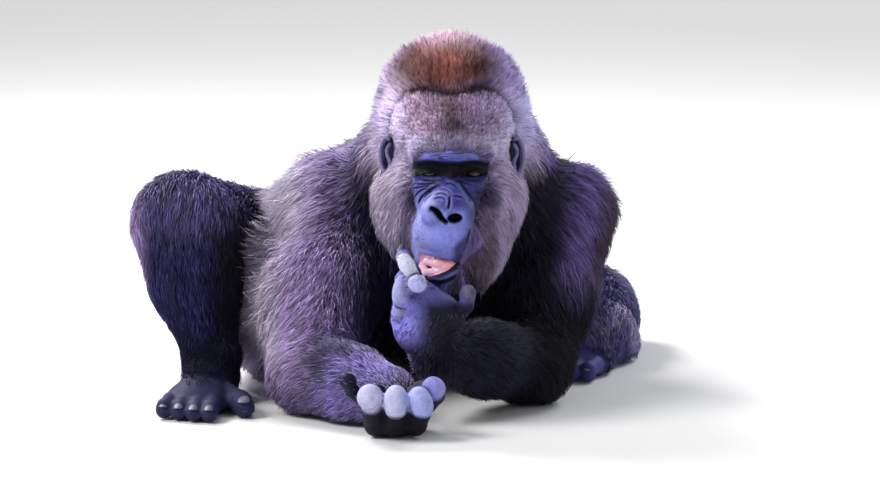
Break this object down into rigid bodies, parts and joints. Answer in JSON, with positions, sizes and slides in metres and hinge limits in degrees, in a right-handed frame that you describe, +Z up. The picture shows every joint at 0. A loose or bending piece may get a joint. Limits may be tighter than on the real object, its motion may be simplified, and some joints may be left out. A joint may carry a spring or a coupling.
{
  "type": "gorilla",
  "caption": "Life-size western lowland gorilla crouching on its forearms, one hand raised to its mouth, as a still display model.",
  "frame": {"origin": "middle of the bounding box at floor level", "axes": "+X to the animal's left, +Y to its rump (it faces -Y), +Z up from the floor"},
  "size_m": [0.7152, 0.9262, 0.5057],
  "materials": {
    "coat": "coarse hair, blackish brown with a cool sheen",
    "crown_coat": "short dense hair, rufous crown over a grey-brown face",
    "bare_skin": "dark matt bare skin, finely creased",
    "finger_skin": "bare slate-blue skin with paler pads",
    "eye": "wet gloss, dark brown",
    "mouth": "moist pink"
  },
  "bodies": {
    "root": {"head": "crown_coat", "lower_jaw": "coat", "right_ear": "bare_skin", "left_ear": "bare_skin", "right_eye": "eye", "left_eye": "eye", "tongue": "mouth", "neck": "coat", "chest": "coat", "abdomen": "coat", "hips": "coat", "right_upper_arm": "coat", "right_forearm": "coat", "right_palm": "bare_skin", "right_index": "finger_skin", "right_middle": "finger_skin", "right_ring": "finger_skin", "right_little": "finger_skin", "right_thumb": "finger_skin", "left_upper_arm": "coat", "left_forearm": "coat", "left_palm": "bare_skin", "left_index": "finger_skin", "left_middle": "finger_skin", "left_ring": "finger_skin", "left_little": "finger_skin", "left_thumb": "finger_skin", "right_thigh": "coat", "right_shin": "coat", "right_foot": "bare_skin", "right_toes": "bare_skin", "right_big_toe": "bare_skin", "left_thigh": "coat", "left_shin": "coat", "left_foot": "bare_skin", "left_toes": "bare_skin", "left_big_toe": "bare_skin"}
  },
  "joints": []
}
